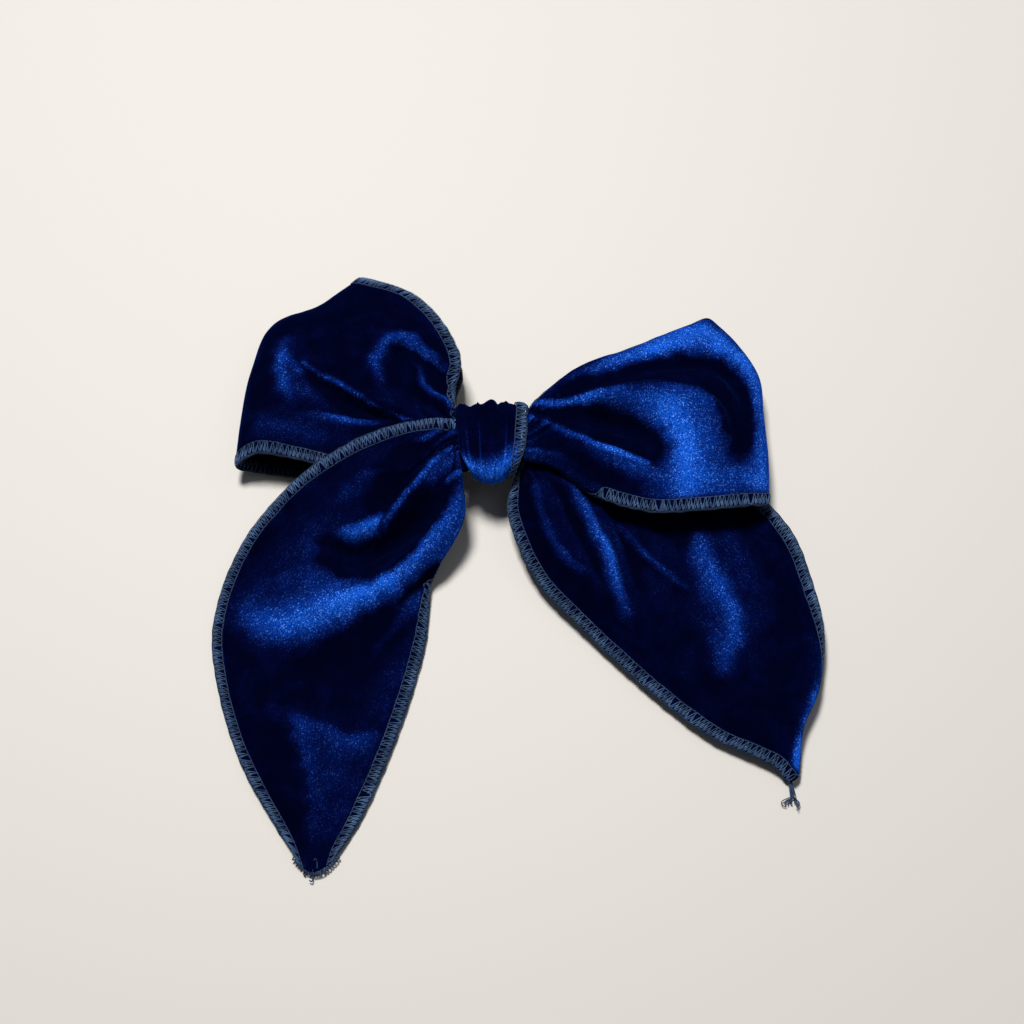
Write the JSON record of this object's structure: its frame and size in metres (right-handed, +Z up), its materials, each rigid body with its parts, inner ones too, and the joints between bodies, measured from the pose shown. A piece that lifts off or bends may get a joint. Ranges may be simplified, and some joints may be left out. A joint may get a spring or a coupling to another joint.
{
  "type": "hair bow clip",
  "caption": "Pointed two-tail velvet hair bow with two open loops, overlocked edges and a wrapped knot, glued to a sprung single-prong hair clip.",
  "frame": {"origin": "middle of the footprint, on the surface that the bow lies on face up", "axes": "+X towards the right loop and tail, +Y from the tails to the tops of the loops, +Z up out of the knot's face"},
  "size_m": [0.1606, 0.1687, 0.0209],
  "materials": {
    "velvet": "royal navy pile velvet, crushed sheen",
    "serging": "steel-blue three-thread overlock",
    "steel": "nickel-plated spring steel",
    "ribbon": "fine ribbed grosgrain ribbon",
    "glue": "cloudy hot-melt glue"
  },
  "bodies": {
    "bow": {"left_tail": "velvet", "right_tail": "velvet", "left_loop": "velvet", "right_loop": "velvet", "gathered_waist": "velvet", "centre_wrap": "velvet", "left_tail_outer_edging": "serging", "left_tail_inner_edging": "serging", "right_tail_inner_edging": "serging", "right_tail_outer_edging": "serging", "left_loop_hem_edging": "serging", "left_loop_top_edging": "serging", "right_loop_hem_edging": "serging", "right_loop_top_edging": "serging", "centre_wrap_edging": "serging", "left_tip_fray": "serging", "right_tip_fray": "serging", "gathering_thread": "serging", "glue_pad": "glue", "clip_plate": "steel", "clip_lining": "ribbon", "jaw_pin": "steel", "clip_spring": "steel"},
    "jaw": {"clip_jaw": "steel", "clip_spring_leg": "steel"}
  },
  "joints": [
    {"name": "jaw_hinge", "type": "hinge", "parent": "bow", "child": "jaw", "pos_m": [0.004, 0.0292, 0.005], "axis": [0, -1, 0], "range_deg": [0, 20], "stiffness_Nm_per_rad": 0.02, "springref_deg": -34.38}
  ]
}
